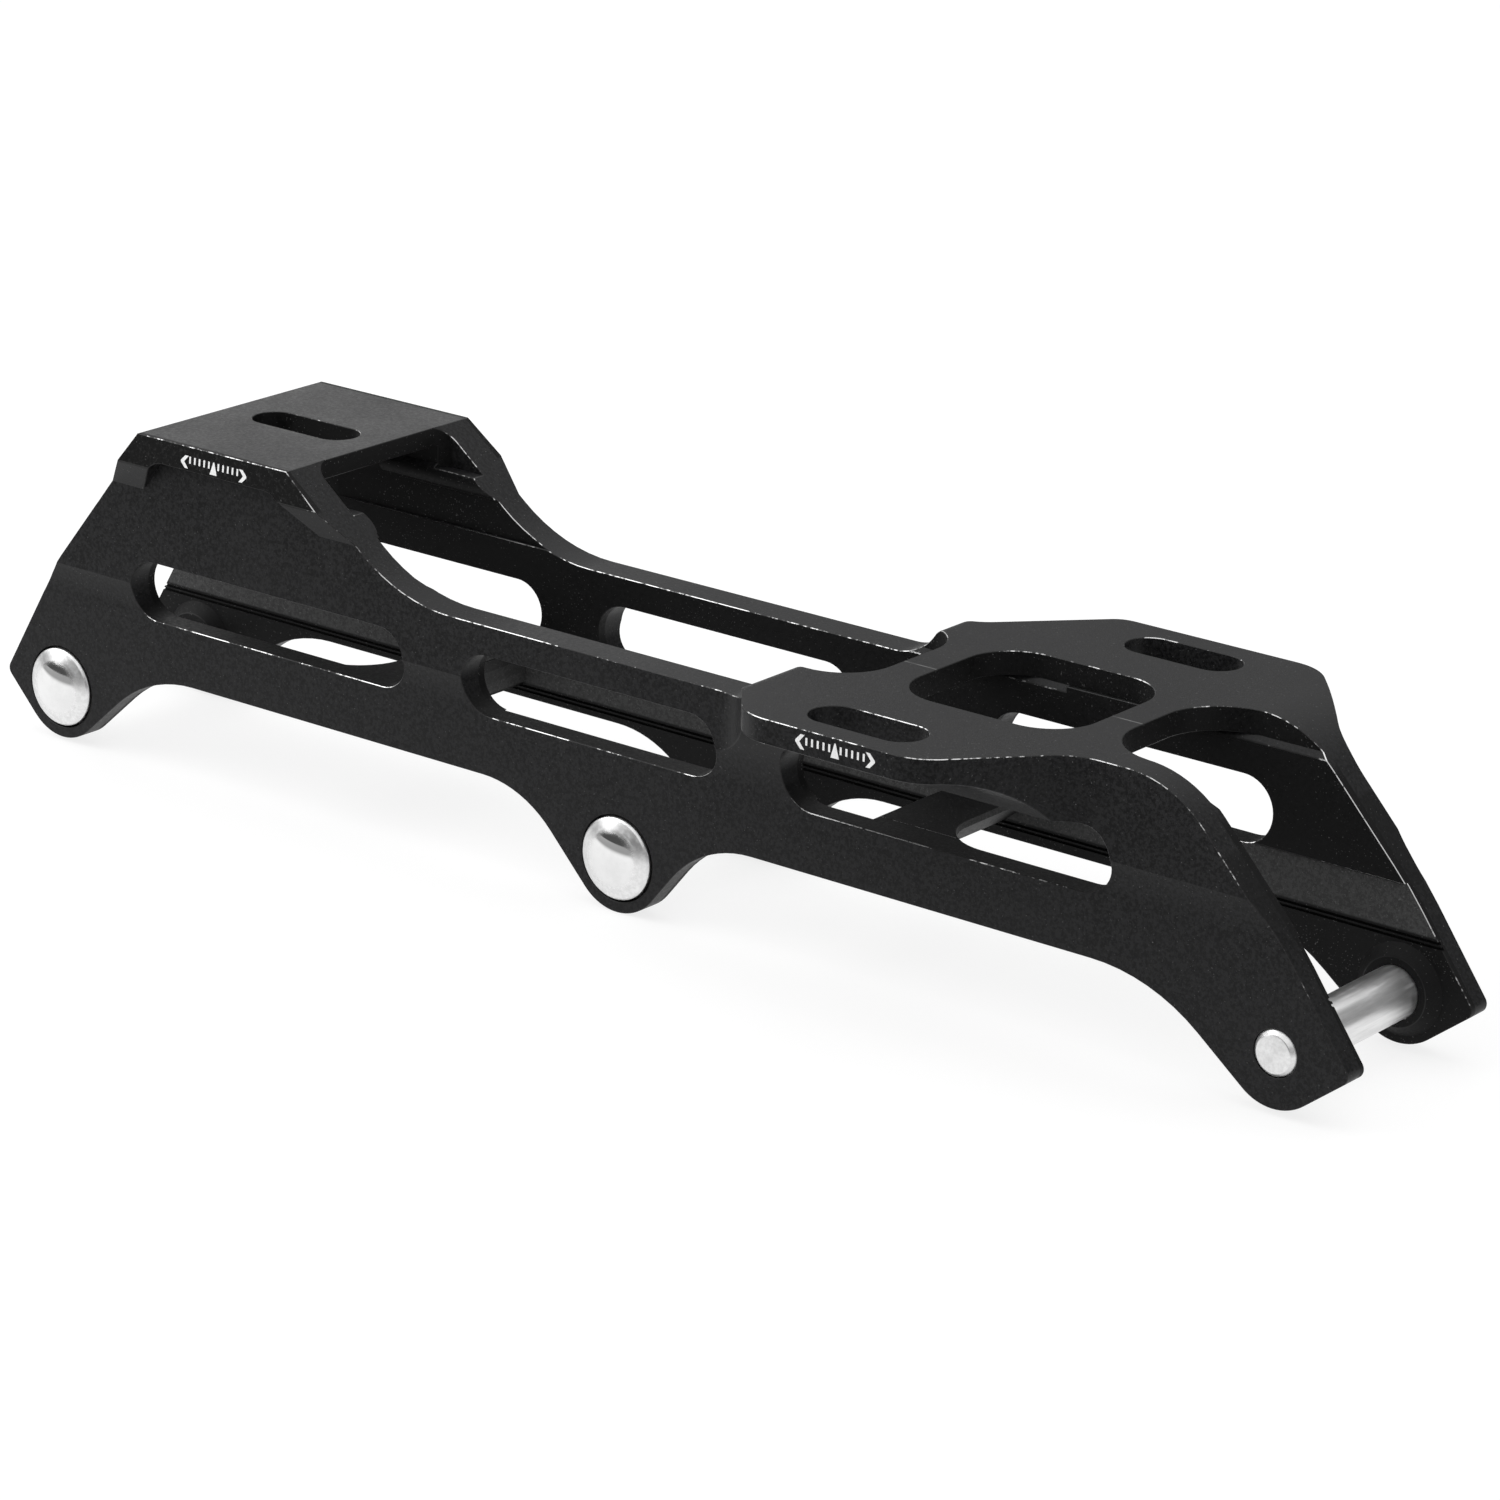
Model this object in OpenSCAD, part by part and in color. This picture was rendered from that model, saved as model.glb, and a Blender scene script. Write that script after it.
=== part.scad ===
// Three-wheel inline skate frame, right foot: one milled aluminium extrusion and three screwed axles.
// X points to the toe, Y to the inner side of the foot, Z up. X = 0 is the middle axle, and Z = 0 is
// the bottom of the middle lug. Heights named "above the axles" start at the two end axles.

/* [Wheels] */
// Diameter of the wheels that the frame takes
wheel_d = 90; // [84:1:92]
// Free space between a wheel and the metal round it
wheel_gap = 2.3; // [1.5:0.1:3]
// Distance from the middle axle to each end axle
axle_pitch = 117.5; // [112:0.5:124]
// How far the middle axle lies below the end axles
rocker = 0.6; // [0:0.1:1.5]

/* [Axles] */
// Diameter of an axle's smooth shaft
shaft_d = 8; // [7.6:0.1:8.6]
// Diameter of an axle's threaded end
thread_d = 7; // [6:0.1:7.4]
// Diameter of an axle's head
head_d = 13; // [12:0.1:13.4]
// Height of the head's rim, with its bevel
rim_h = 2.2; // [1.6:0.1:3]
// Bevel round the rim
head_bevel = 0.3; // [0.1:0.1:0.6]
// Rise of the head's dome above its rim
dome_h = 1.4; // [0.4:0.1:2]
// Width across the flats of the hex socket
socket_af = 4; // [3:0.5:4.5]
// Depth of the hex socket
socket_h = 5; // [3:0.5:6]
// Chamfer on the threaded end
end_chamfer = 0.7; // [0.3:0.1:1]
// How far the threaded end stands out of the wall
end_proud = 0.4; // [0:0.1:1]
// Radial running clearance of the shaft in its bore
shaft_fit = 0.05; // [0.03:0.01:0.1]
// Radial clearance round the head in its counterbore
head_fit = 0.38; // [0.2:0.02:0.5]
// Gap at each face that an axle seats on
seat_gap = 0.05; // [0.02:0.01:0.1]
// Depth of the counterbore that takes the head
counterbore_h = 1.8; // [1:0.1:2.2]

/* [Walls] */
// Width between the walls below the inside step
bay_w = 28; // [27:0.5:30]
// Width between the bosses round the axles
boss_gap = 24.5; // [24:0.1:26]
// Diameter of those bosses at the axle
boss_d = 10.6; // [10:0.2:12]
// Diameter of those bosses where they meet the wall
boss_root_d = 14; // [13:0.5:16]
// Thickness of the wall below the cove
wall_t = 4.2; // [3.6:0.1:5]
// Overall width over the milled side faces
milled_w = 38.3; // [37.9:0.1:38.7]
// How much thicker the wall is above the inside step
step_t = 0.5; // [0.2:0.1:0.8]
// Height of the inside step above the axles
step_h = 15.9; // [14:0.1:18]
// Height of the pair of grooves inside the walls above the axles
groove_h = 7.95; // [7.8:0.05:12]
// Width and depth of each groove
groove_w = 0.45; // [0.3:0.05:0.6]
// Width of the land between the two grooves
groove_land = 0.25; // [0.15:0.05:0.5]
// Height above the axles of the walls' straight bottom edge behind the middle lug
edge_h = 6.4; // [5:0.1:7]
// Height above the axles of that edge ahead of the middle lug
front_edge_h = 5.9; // [5:0.1:7]
// Outer radius of the lugs round the rear and middle axles
lug_r = 8.6; // [8.2:0.1:9.2]
// Angle from the horizontal of the rear sides of those lugs
back_angle = 46; // [42:1:50]
// Angle of the rear lug's front side
rear_lug_angle = 42; // [38:1:48]
// Angle of the middle lug's front side
middle_lug_angle = 51; // [44:1:54]
// Outer radius of the lug round the front axle
front_lug_r = 8.2; // [8:0.1:9]
// Angle of both sides of the front lug
front_lug_angle = 38; // [36:1:46]
// Radius where the rear lug runs into the bottom edge
rear_flank_r = 25; // [15:1:28]
// Radius where the middle lug runs into the bottom edge
middle_flank_r = 19; // [10:1:22]
// Radius where the front lug runs into the bottom edge
front_flank_r = 30; // [15:1:32]

/* [Ends] */
// How far the walls reach past the end axles
end_reach = 12.4; // [11.4:0.1:14]
// Radius of the walls' lower end corners
end_r = 1.5; // [0.5:0.5:3]
// Distance ahead of the rear axle at which the rear edge bends
rear_bend_x = -1.4; // [-3:0.1:2]
// Height of that bend above the axles
rear_bend_h = 19.3; // [17:0.5:22]
// Distance ahead of the front axle at which the front edge bends
front_bend_x = 0.7; // [-2:0.1:2]
// Height of that bend above the axles
front_bend_h = 15.4; // [13:0.2:18]
// Radius of both bends
bend_r = 60; // [20:5:60]
// Distance behind the front axle at which the deck's top would meet the front edge
nose_x = 18.3; // [17:0.1:20]
// Radius of the nose
nose_r = 18; // [10:1:20]

/* [Front deck] */
// Height of the front deck's top above the axles
front_deck_h = 35.64; // [34:0.1:37]
// Thickness of the front deck
front_deck_t = 3.74; // [3:0.1:4.4]
// Place where the deck's flat top starts on the near side
near_deck_x = 31.4; // [29:0.2:34]
// Place where it starts on the far side
far_deck_x = 36.6; // [34:0.2:38]
// Radius of the crest behind those places
crest_r = 3; // [1:0.5:3.5]
// Width over the two lobes
lobe_w = 72.8; // [68:0.2:76]
// Radius of the cove under the lobes
cove_r = 15.8; // [14:0.2:16.6]
// Rear edge of the near lobe at the wall
near_lobe_x = 23.9; // [22:0.1:26]
// Distance over which the near lobe's rear edge runs out from the wall
near_lobe_back = 13.5; // [12:0.1:20]
// Length of the near lobe's outer edge
near_lobe_l = 30.6; // [28:0.2:34]
// Distance over which the near lobe's front edge runs back to the wall
near_lobe_run = 15; // [12:0.1:20]
// Rear edge of the far lobe at the wall
far_lobe_x = 36.6; // [34:0.2:39]
// Distance over which the far lobe's rear edge runs out from the wall
far_lobe_back = 15.9; // [12:0.1:20]
// Length of the far lobe's outer edge
far_lobe_l = 34.9; // [32:0.2:38]
// Distance over which the far lobe's front edge runs back to the wall
far_lobe_run = 14.9; // [12:0.1:18]
// Radius of the lobes' outer corners
lobe_r = 8.8; // [4:0.1:9]
// Radius where the lobes run into the walls
lobe_root_r = 9; // [6:0.5:12]
// Rear edge of the deck between the walls
deck_rear_x = 40.4; // [38:0.2:42]
// Radius of that edge's corners
deck_rear_r = 8.5; // [5:0.5:11]
// Width of the strip behind the deck's window
rear_strip_w = 6; // [4:0.1:8]
// Width of the strip ahead of the window
front_strip_w = 5.4; // [4:0.1:8]
// Corner radius of the window
window_r = 8; // [4:0.5:9]
// Corner radius of the deck's front edge
deck_front_r = 10; // [5:0.5:11]
// How much wider the deck's openings are on each side than the bay under them
opening_t = 0.7; // [0.3:0.1:1]
// Height of the slope from that width in to the bay
ledge_h = 0.9; // [0.4:0.1:1.5]
// Length of that slope ahead of the window's rear end
window_ledge_l = 12; // [8:1:20]

/* [Rear deck] */
// Height of the rear deck's top above the front deck's
heel_rise = 11.82; // [10:0.1:14]
// Thickness of the rear deck
rear_deck_t = 3.06; // [2.6:0.1:4]
// Rear edge of the rear deck
rear_deck_x = -96.3; // [-98:0.1:-93]
// Length of the rear deck's flat top
rear_deck_l = 31.8; // [27:0.1:34]
// Radius where the deck's front edge meets the walls
rear_deck_r = 3; // [1:0.5:5]
// Width over the rear deck's top edges
rear_deck_w = 42.4; // [40:0.2:43]
// Width over the bottom of the rear deck's side bands
band_w = 43.4; // [42:0.2:45]
// Height of those side bands
band_h = 5.06; // [4:0.1:6]
// Height of the slope from the side band in to the wall
band_slope_h = 4.7; // [3:0.1:6]
// Radius of the bead along the walls' inner faces under the rear deck
bead_r = 2; // [1.4:0.1:2.2]
// How far the bead stands in from the walls' inner faces
bead_proud = 0.9; // [0.4:0.1:1.2]
// Depth of the bead's centre line below the rear deck's top
bead_drop = 7.6; // [7:0.1:8.5]
// Distance from the bead's rear end to the deck's front edge
bead_back = 11.5; // [6:0.5:16]
// How much wider the opening ahead of the rear deck is on each side, above the bead
relief_t = 1.6; // [0.8:0.1:2]
// Depth of the shallow recess that is left inside the walls at the front deck's level
scar_t = 0.5; // [0.3:0.1:0.8]
// Height of that recess
scar_h = 5.9; // [4:0.1:6.2]
// Rear end of that recess
scar_x = -86; // [-88:0.5:-84]
// Length of that recess
scar_l = 46; // [42:0.5:46]
// Length over which the recess fades out at each end
scar_run = 4; // [2:0.5:8]
// Rear end of the bottom of the pocket milled in that slope on the near side
pocket_x = -97.1; // [-100:0.1:-95]
// Length of that pocket along its bottom
pocket_l = 37.6; // [30:0.1:40]
// How far the pocket reaches up into the side band
pocket_rise = 1.2; // [0.2:0.1:2]
// Distance over which the pocket's rear end leans forward
pocket_back = 4.4; // [2:0.2:8]
// Distance over which the pocket's front end leans back
pocket_run = 8.2; // [5:0.2:14]
// Radius of the pocket's upper corners
pocket_r = 4; // [1:0.5:6]

/* [Middle span] */
// How far the walls' top edge lies below the front deck between the decks
span_drop = 5; // [4:0.1:6]
// Front end of the slope that comes down from the rear deck
span_x = -42.7; // [-46:0.2:-40]
// Radius at the foot of that slope
span_rear_r = 30; // [10:1:32]
// Distance over which the top edge climbs to the front deck
span_climb = 3.9; // [3:0.1:6]
// Radius at the foot of that climb
span_front_r = 8.5; // [4:0.5:8.5]

/* [Windows] */
// Height of the rear and middle windows
side_window_h = 10; // [8:0.1:11]
// Height of the front windows
front_window_h = 10.5; // [8:0.1:11]
// Height of the rail between the windows and the top edge of the middle span
rail_h = 4.75; // [3.6:0.05:5]
// Distance from the rear axle to the rear window
rear_window_gap = 17; // [16:0.2:20]
// Length of the rear window
rear_window_l = 58.2; // [48:0.1:60]
// Distance from the middle axle back to the middle window's rear end
middle_window_back = 30.5; // [26:0.1:32]
// Length of the middle window
middle_window_l = 49.6; // [42:0.1:51]
// Distance from the middle axle to the near front window
near_window_x = 31.2; // [29:0.2:34]
// Length of the near front window
near_window_l = 58.3; // [50:0.1:60]
// Distance from the middle axle to the far front window
far_window_x = 45; // [42:0.1:50]
// Length of the far front window
far_window_l = 50; // [40:0.1:51]

/* [Mounting slots] */
// Length of a front mounting slot
front_slot_l = 19.5; // [14:0.1:20]
// Width of a front mounting slot
front_slot_w = 8; // [6:0.1:9]
// Near front slot: distance ahead of the middle axle
near_slot_x = 53.7; // [50:0.1:56]
// Far front slot: distance ahead of the middle axle
far_slot_x = 68.9; // [66:0.1:71]
// Distance of both front slots from the frame's centre plane
front_slot_y = 28.2; // [26:0.1:29]
// Length of the rear mounting slot
rear_slot_l = 20.6; // [14:0.1:22]
// Width of the rear mounting slot
rear_slot_w = 7.4; // [5:0.1:8]
// Rear slot: distance behind the middle axle
rear_slot_x = 80; // [79:0.1:82]

/* [Cross bridges] */
// Height of the bridges' flat top above the axles
bridge_h = 15.4; // [14:0.1:17]
// Height of the bridges' bottom edge above the axles
bridge_foot_h = 8.5; // [7.5:0.1:11]
// Distance from the middle axle to a bridge's outer edge
bridge_x = 55; // [52:0.2:58]
// Height of the bridges' outer edge
bridge_edge_h = 1.2; // [0.6:0.1:3]
// Width of the bridges' bottom edge
bridge_foot_w = 1.5; // [0.6:0.1:3]
// Radius of the horns where a bridge's outer edge meets the walls
bridge_r = 9; // [4:0.5:11]

/* [Hidden] */

// How far a cutter runs past the face that it opens
over = 1;
// Largest turn between two points on a rounded outline
arc_step = 5;
// Clearance radius round a wheel
swing_r = wheel_d / 2 + wheel_gap;

// Heights
middle_z = lug_r;
end_z = lug_r + rocker;
edge_z = end_z + edge_h;
front_edge_z = end_z + front_edge_h;
step_z = end_z + step_h;
groove_z = end_z + groove_h;
front_top_z = end_z + front_deck_h;
front_under_z = front_top_z - front_deck_t;
rear_top_z = front_top_z + heel_rise;
rear_under_z = rear_top_z - rear_deck_t;
span_z = front_top_z - span_drop;
window_top_z = span_z - rail_h;
band_z = rear_top_z - band_h;
band_foot_z = band_z - band_slope_h;
cove_z = front_under_z - cove_r;
bead_z = rear_top_z - bead_drop;

// Half widths
bay_y = bay_w / 2;
upper_y = bay_y - step_t;
wall_y = bay_y + wall_t;
milled_y = milled_w / 2;
cove_y = wall_y + cove_r;
lobe_y = lobe_w / 2;
body_w = max(lobe_w, band_w);

// Places along the frame
end_x = axle_pitch + end_reach;
rear_deck_end = rear_deck_x + rear_deck_l;
rear_slope = (rear_top_z - span_z) / (span_x - rear_deck_end);
relief_l = (rear_top_z - bead_z) / rear_slope + 2 * rear_deck_r;
deck_front_x = axle_pitch - sqrt(pow(swing_r, 2) - pow(front_under_z - end_z, 2));
window_x = deck_rear_x + rear_strip_w;
window_l = deck_front_x - front_strip_w - window_x;

// Stations of the three axles as [x, z]
rear_station = [-axle_pitch, end_z];
middle_station = [0, middle_z];
front_station = [axle_pitch, end_z];

// Points of one corner [x, y, radius], rounded by an arc between its two neighbours
function corner(before, at, after) =
    let (
        p = [at[0], at[1]],
        u = ([before[0], before[1]] - p) / norm([before[0], before[1]] - p),
        v = ([after[0], after[1]] - p) / norm([after[0], after[1]] - p),
        half = acos(u * v) / 2,
        centre = p + (u + v) / norm(u + v) * at[2] / sin(half),
        start = p + u * at[2] / tan(half) - centre,
        side = sign(start[0] * (p - centre)[1] - start[1] * (p - centre)[0]),
        turn = 180 - 2 * half,
        steps = ceil(turn / arc_step)
    )
    at[2] == 0 ? [p] : [
        for (i = [0 : steps])
            let (a = side * turn * i / steps)
            centre + [start[0] * cos(a) - start[1] * sin(a), start[0] * sin(a) + start[1] * cos(a)]
    ];

// A closed outline from its corners
function rounded(corners) = [
    for (i = [0 : len(corners) - 1])
        let (n = len(corners))
        each corner(corners[(i + n - 1) % n], corners[i], corners[(i + 1) % n])
];

// Height at which the side of a lug passes a distance from its axle
function flank_z(distance, r, angle) = distance * tan(angle) - r / cos(angle);

// Distance from its axle at which the side of a lug reaches a height
function flank_x(height, r, angle) = (height + r / cos(angle)) / tan(angle);

// The corner of a lug round a station, where its rear and front sides would meet
function lug(station, r, back, ahead) =
    let (x = r * (1 / cos(ahead) - 1 / cos(back)) / (tan(back) + tan(ahead)))
    [station[0] + x, station[1] + flank_z(x, r, ahead), r];

// Stand a drawing in X and Z up, as a plate centred on Y = 0
module side_plate(width) {
    rotate([90, 0, 0])
        linear_extrude(width, center = true)
            children();
}

// Run a drawing in Y and Z along X
module along(from, to) {
    translate([from, 0, 0])
        rotate([90, 0, 90])
            linear_extrude(to - from)
                children();
}

// A shaft along Y at a station, between two places
module rod_y(station, r, from, to) {
    translate([station[0], from, station[1]])
        rotate([-90, 0, 0])
            cylinder(r = r, h = to - from, $fn = 96);
}

// A slot drawn along the first axis, centred, with round ends
module slot_2d(length, width) {
    square([length - width, width], center = true);
    for (side = [-1, 1])
        translate([side * (length - width) / 2, 0])
            circle(d = width, $fn = 64);
}

// A centred rectangle with round corners
module rounded_box_2d(length, width, r) {
    square([length - 2 * r, width], center = true);
    square([length, width - 2 * r], center = true);
    for (sx = [-1, 1], sy = [-1, 1])
        translate([sx * (length / 2 - r), sy * (width / 2 - r)])
            circle(r = r, $fn = 64);
}

// A drawing of the far half (side 1), or its mirror image on the near half (side -1)
module on_side(side) {
    mirror([side < 0 ? 1 : 0, 0])
        children();
}

// Section of the extrusion's walls, from the bottom to the rear deck's bands
module wall_section() {
    for (side = [-1, 1])
        on_side(side)
            difference() {
                polygon([
                    [bay_y, 0],
                    [wall_y, 0],
                    [wall_y, cove_z],
                    [lobe_y, cove_z],
                    [lobe_y, front_top_z],
                    [milled_y, front_top_z],
                    [milled_y, band_foot_z],
                    [band_w / 2, band_z],
                    [rear_deck_w / 2, rear_top_z],
                    [upper_y, rear_top_z],
                    [upper_y, step_z],
                    [bay_y, step_z]
                ]);
                translate([cove_y, cove_z])
                    circle(r = cove_r, $fn = 96);
                translate([cove_y, cove_z - over])
                    square([lobe_y, cove_r + over]);
                for (at = [-1, 1])
                    translate([bay_y, groove_z + at * (groove_w + groove_land) / 2])
                        square([2 * groove_w, groove_w], center = true);
            }
}

// Side view of the walls, with the place where the front deck's top starts
module side_outline(deck_x) {
    rear_lug_x = flank_x(edge_z - end_z, lug_r, rear_lug_angle);
    middle_back_x = flank_x(edge_z - middle_z, lug_r, back_angle);
    middle_front_x = flank_x(front_edge_z - middle_z, lug_r, middle_lug_angle);
    front_lug_x = flank_x(front_edge_z - end_z, front_lug_r, front_lug_angle);
    crest_x = deck_x - crest_r * tan(atan(span_drop / span_climb) / 2);
    polygon(rounded([
        [-end_x, end_z + flank_z(end_reach, lug_r, back_angle), end_r],
        lug(rear_station, lug_r, back_angle, rear_lug_angle),
        [-axle_pitch + rear_lug_x, edge_z, rear_flank_r],
        [-middle_back_x, edge_z, middle_flank_r],
        lug(middle_station, lug_r, back_angle, middle_lug_angle),
        [middle_front_x, front_edge_z, middle_flank_r],
        [axle_pitch - front_lug_x, front_edge_z, front_flank_r],
        lug(front_station, front_lug_r, front_lug_angle, front_lug_angle),
        [end_x, end_z + flank_z(end_reach, front_lug_r, front_lug_angle), end_r],
        [axle_pitch + front_bend_x, end_z + front_bend_h, bend_r],
        [axle_pitch - nose_x, front_top_z, nose_r],
        [crest_x, front_top_z, crest_r],
        [crest_x - span_climb, span_z, span_front_r],
        [span_x, span_z, span_rear_r],
        [rear_deck_end, rear_top_z, 0],
        [rear_deck_x, rear_top_z, 0],
        [-axle_pitch + rear_bend_x, end_z + rear_bend_h, bend_r]
    ]));
}

// Plan of the near lobe, joined to its wall
module near_lobe_plan() {
    outer_x = near_lobe_x + near_lobe_back;
    front_x = outer_x + near_lobe_l + near_lobe_run;
    polygon(rounded([
        [near_lobe_x - 2 * lobe_root_r, -upper_y, 0],
        [near_lobe_x - 2 * lobe_root_r, -milled_y, 0],
        [near_lobe_x, -milled_y, lobe_root_r],
        [outer_x, -lobe_y, lobe_r],
        [outer_x + near_lobe_l, -lobe_y, lobe_r],
        [front_x, -milled_y, lobe_root_r],
        [front_x + 2 * lobe_root_r, -milled_y, 0],
        [front_x + 2 * lobe_root_r, -upper_y, 0]
    ]));
}

// Plan of the far lobe, joined to its wall
module far_lobe_plan() {
    outer_x = far_lobe_x + far_lobe_back;
    front_x = outer_x + far_lobe_l + far_lobe_run;
    polygon(rounded([
        [far_lobe_x - 2 * lobe_root_r, upper_y, 0],
        [far_lobe_x - 2 * lobe_root_r, milled_y, 0],
        [far_lobe_x, milled_y, lobe_root_r],
        [outer_x, lobe_y, lobe_r / 2],
        [outer_x + far_lobe_l, lobe_y, lobe_r],
        [front_x, milled_y, lobe_root_r],
        [front_x + 2 * lobe_root_r, milled_y, 0],
        [front_x + 2 * lobe_root_r, upper_y, 0]
    ]));
}

// Everything inside the two walls' side outlines, each on its own half
module side_envelope() {
    translate([0, -body_w / 2, 0])
        side_plate(body_w)
            side_outline(near_deck_x);
    translate([0, body_w / 2, 0])
        side_plate(body_w)
            side_outline(far_deck_x);
}

// Everything inside the outline in plan: the milled side faces, the rear deck's bands and the lobes
module plan_envelope() {
    translate([-end_x - over, -milled_y, -over])
        cube([2 * (end_x + over), milled_w, rear_top_z + 2 * over]);
    translate([-end_x - over, -body_w / 2 - over, band_foot_z])
        cube([end_x + over, body_w + 2 * over, rear_top_z]);
    linear_extrude(rear_top_z)
        near_lobe_plan();
    linear_extrude(rear_top_z)
        far_lobe_plan();
}

// The two walls and their lobes
module walls() {
    intersection() {
        along(-end_x - over, end_x + over)
            wall_section();
        plan_envelope();
    }
}

// The front deck between the walls, before its openings are milled
module front_deck() {
    translate([near_lobe_x, -upper_y - over, front_under_z])
        cube([deck_front_x + deck_front_r - near_lobe_x, 2 * (upper_y + over), front_deck_t]);
}

// The front deck's window and the openings behind and ahead of the deck, milled down through it
module deck_openings() {
    width = 2 * (upper_y + opening_t);
    front_l = end_x - deck_front_x;
    translate([0, 0, front_under_z])
        linear_extrude(front_deck_t + over) {
            translate([deck_rear_x / 2, 0])
                rounded_box_2d(deck_rear_x, width, deck_rear_r);
            translate([window_x + window_l / 2, 0])
                rounded_box_2d(window_l, width, window_r);
            translate([deck_front_x + front_l / 2, 0])
                rounded_box_2d(front_l, width, deck_front_r);
        }
}

// The slope from a deck opening's width in to the bay's, on both walls
module ledge(from, to) {
    for (side = [-1, 1])
        along(from, to)
            on_side(side)
                polygon([
                    [upper_y - over, front_under_z - ledge_h],
                    [upper_y, front_under_z - ledge_h],
                    [upper_y + opening_t, front_under_z],
                    [upper_y - over, front_under_z]
                ]);
}

// The rear deck between the walls, long enough for its front edge to be milled
module rear_deck() {
    translate([rear_deck_x, -upper_y - over, rear_under_z])
        cube([rear_deck_l + rear_deck_r, 2 * (upper_y + over), rear_deck_t]);
}

// The beads along the walls' inner faces under the rear deck
module beads() {
    for (side = [-1, 1])
        along(rear_deck_end - bead_back, span_x)
            translate([side * (upper_y - bead_proud + bead_r), bead_z])
                circle(r = bead_r, $fn = 48);
}

// The opening milled down ahead of the rear deck, as far as the beads
module rear_relief() {
    translate([rear_deck_end + relief_l / 2, 0, bead_z + bead_r / 2])
        linear_extrude(rear_top_z)
            rounded_box_2d(relief_l, 2 * (upper_y + relief_t), rear_deck_r);
}

// The shallow recess inside a wall where the front deck's level was milled away
module scar() {
    end = scar_x + scar_l;
    linear_extrude(scar_h)
        polygon([
            [scar_x, upper_y - over],
            [scar_x, upper_y],
            [scar_x + scar_run, upper_y + scar_t],
            [end - scar_run, upper_y + scar_t],
            [end, upper_y],
            [end, upper_y - over]
        ]);
}

// A cross bridge ahead of the middle axle, from wall to wall
module bridge() {
    top_z = end_z + bridge_h;
    foot_z = end_z + bridge_foot_h;
    foot_x = sqrt(pow(swing_r, 2) - pow(foot_z - middle_z, 2));
    difference() {
        side_plate(bay_w)
            polygon([
                [0, foot_z],
                [foot_x + bridge_foot_w, foot_z],
                [bridge_x, top_z - bridge_edge_h],
                [bridge_x + bridge_r, top_z - bridge_edge_h],
                [bridge_x + bridge_r, top_z],
                [0, top_z]
            ]);
        rod_y(middle_station, swing_r, -bay_y - over, bay_y + over);
        translate([bridge_x + 2 * bridge_r, 0, 0])
            linear_extrude(top_z + over)
                rounded_box_2d(4 * bridge_r, bay_w, bridge_r);
    }
}

// The tapered bosses on both walls' inner faces round an axle
module bosses(station) {
    boss_h = bay_y - boss_gap / 2;
    for (side = [-1, 1])
        translate([station[0], side * bay_y, station[1]])
            rotate([side * 90, 0, 0])
                cylinder(d1 = boss_root_d, d2 = boss_d, h = boss_h, $fn = 96);
}

// What an axle takes out of the walls: head_side is -1 for a head on the near side, 1 for the far side
module axle_bore(station, head_side) {
    mirror([0, head_side > 0 ? 1 : 0, 0]) {
        rod_y(station, shaft_d / 2 + shaft_fit, -wall_y - over, 0);
        rod_y(station, thread_d / 2 + shaft_fit, 0, wall_y + over);
        rod_y(station, head_d / 2 + head_fit, -wall_y - over, -wall_y + counterbore_h);
    }
}

// A side window through one wall: side is -1 for the near wall, 1 for the far one
module side_window(x, length, height, side) {
    depth = cove_y - upper_y + over;
    translate([x + length / 2, side * (cove_y - depth / 2), window_top_z - height / 2])
        side_plate(depth)
            slot_2d(length, height);
}

// A mounting slot milled down through a deck, from above its top to a height below it
module mounting_slot(x, y, length, width, top_z, foot_z) {
    translate([x, y, foot_z])
        linear_extrude(top_z - foot_z + over)
            slot_2d(length, width);
}

// The near side's pocket, which brings the slope under the rear band back to the wall's face
module pocket() {
    depth = body_w / 2 - milled_y + over;
    translate([0, -milled_y - depth / 2, 0])
        side_plate(depth)
            polygon(rounded([
                [pocket_x, band_foot_z, 0],
                [pocket_x + pocket_l, band_foot_z, 0],
                [pocket_x + pocket_l - pocket_run, band_z + pocket_rise, pocket_r],
                [pocket_x + pocket_back, band_z + pocket_rise, pocket_r]
            ]));
}

module frame_body() {
    color([0.05, 0.05, 0.055])
        difference() {
            union() {
                intersection() {
                    union() {
                        walls();
                        front_deck();
                        rear_deck();
                        beads();
                    }
                    side_envelope();
                }
                for (side = [0, 1])
                    mirror([side, 0, 0])
                        bridge();
                bosses(rear_station);
                bosses(middle_station);
                bosses(front_station);
            }
            axle_bore(rear_station, -1);
            axle_bore(middle_station, -1);
            axle_bore(front_station, 1);
            for (side = [-1, 1]) {
                side_window(-axle_pitch + rear_window_gap, rear_window_l, side_window_h, side);
                side_window(-middle_window_back, middle_window_l, side_window_h, side);
            }
            side_window(near_window_x, near_window_l, front_window_h, -1);
            side_window(far_window_x, far_window_l, front_window_h, 1);
            mounting_slot(near_slot_x, -front_slot_y, front_slot_l, front_slot_w, front_top_z, cove_z);
            mounting_slot(far_slot_x, front_slot_y, front_slot_l, front_slot_w, front_top_z, cove_z);
            mounting_slot(-rear_slot_x, 0, rear_slot_l, rear_slot_w, rear_top_z, band_foot_z);
            pocket();
            deck_openings();
            ledge(0, deck_rear_x - deck_rear_r / 2);
            ledge(window_x, window_x + window_ledge_l);
            ledge(deck_front_x, end_x);
            rear_relief();
            for (side = [0, 1])
                translate([0, 0, front_under_z])
                    mirror([0, side, 0])
                        scar();
        }
}

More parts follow.
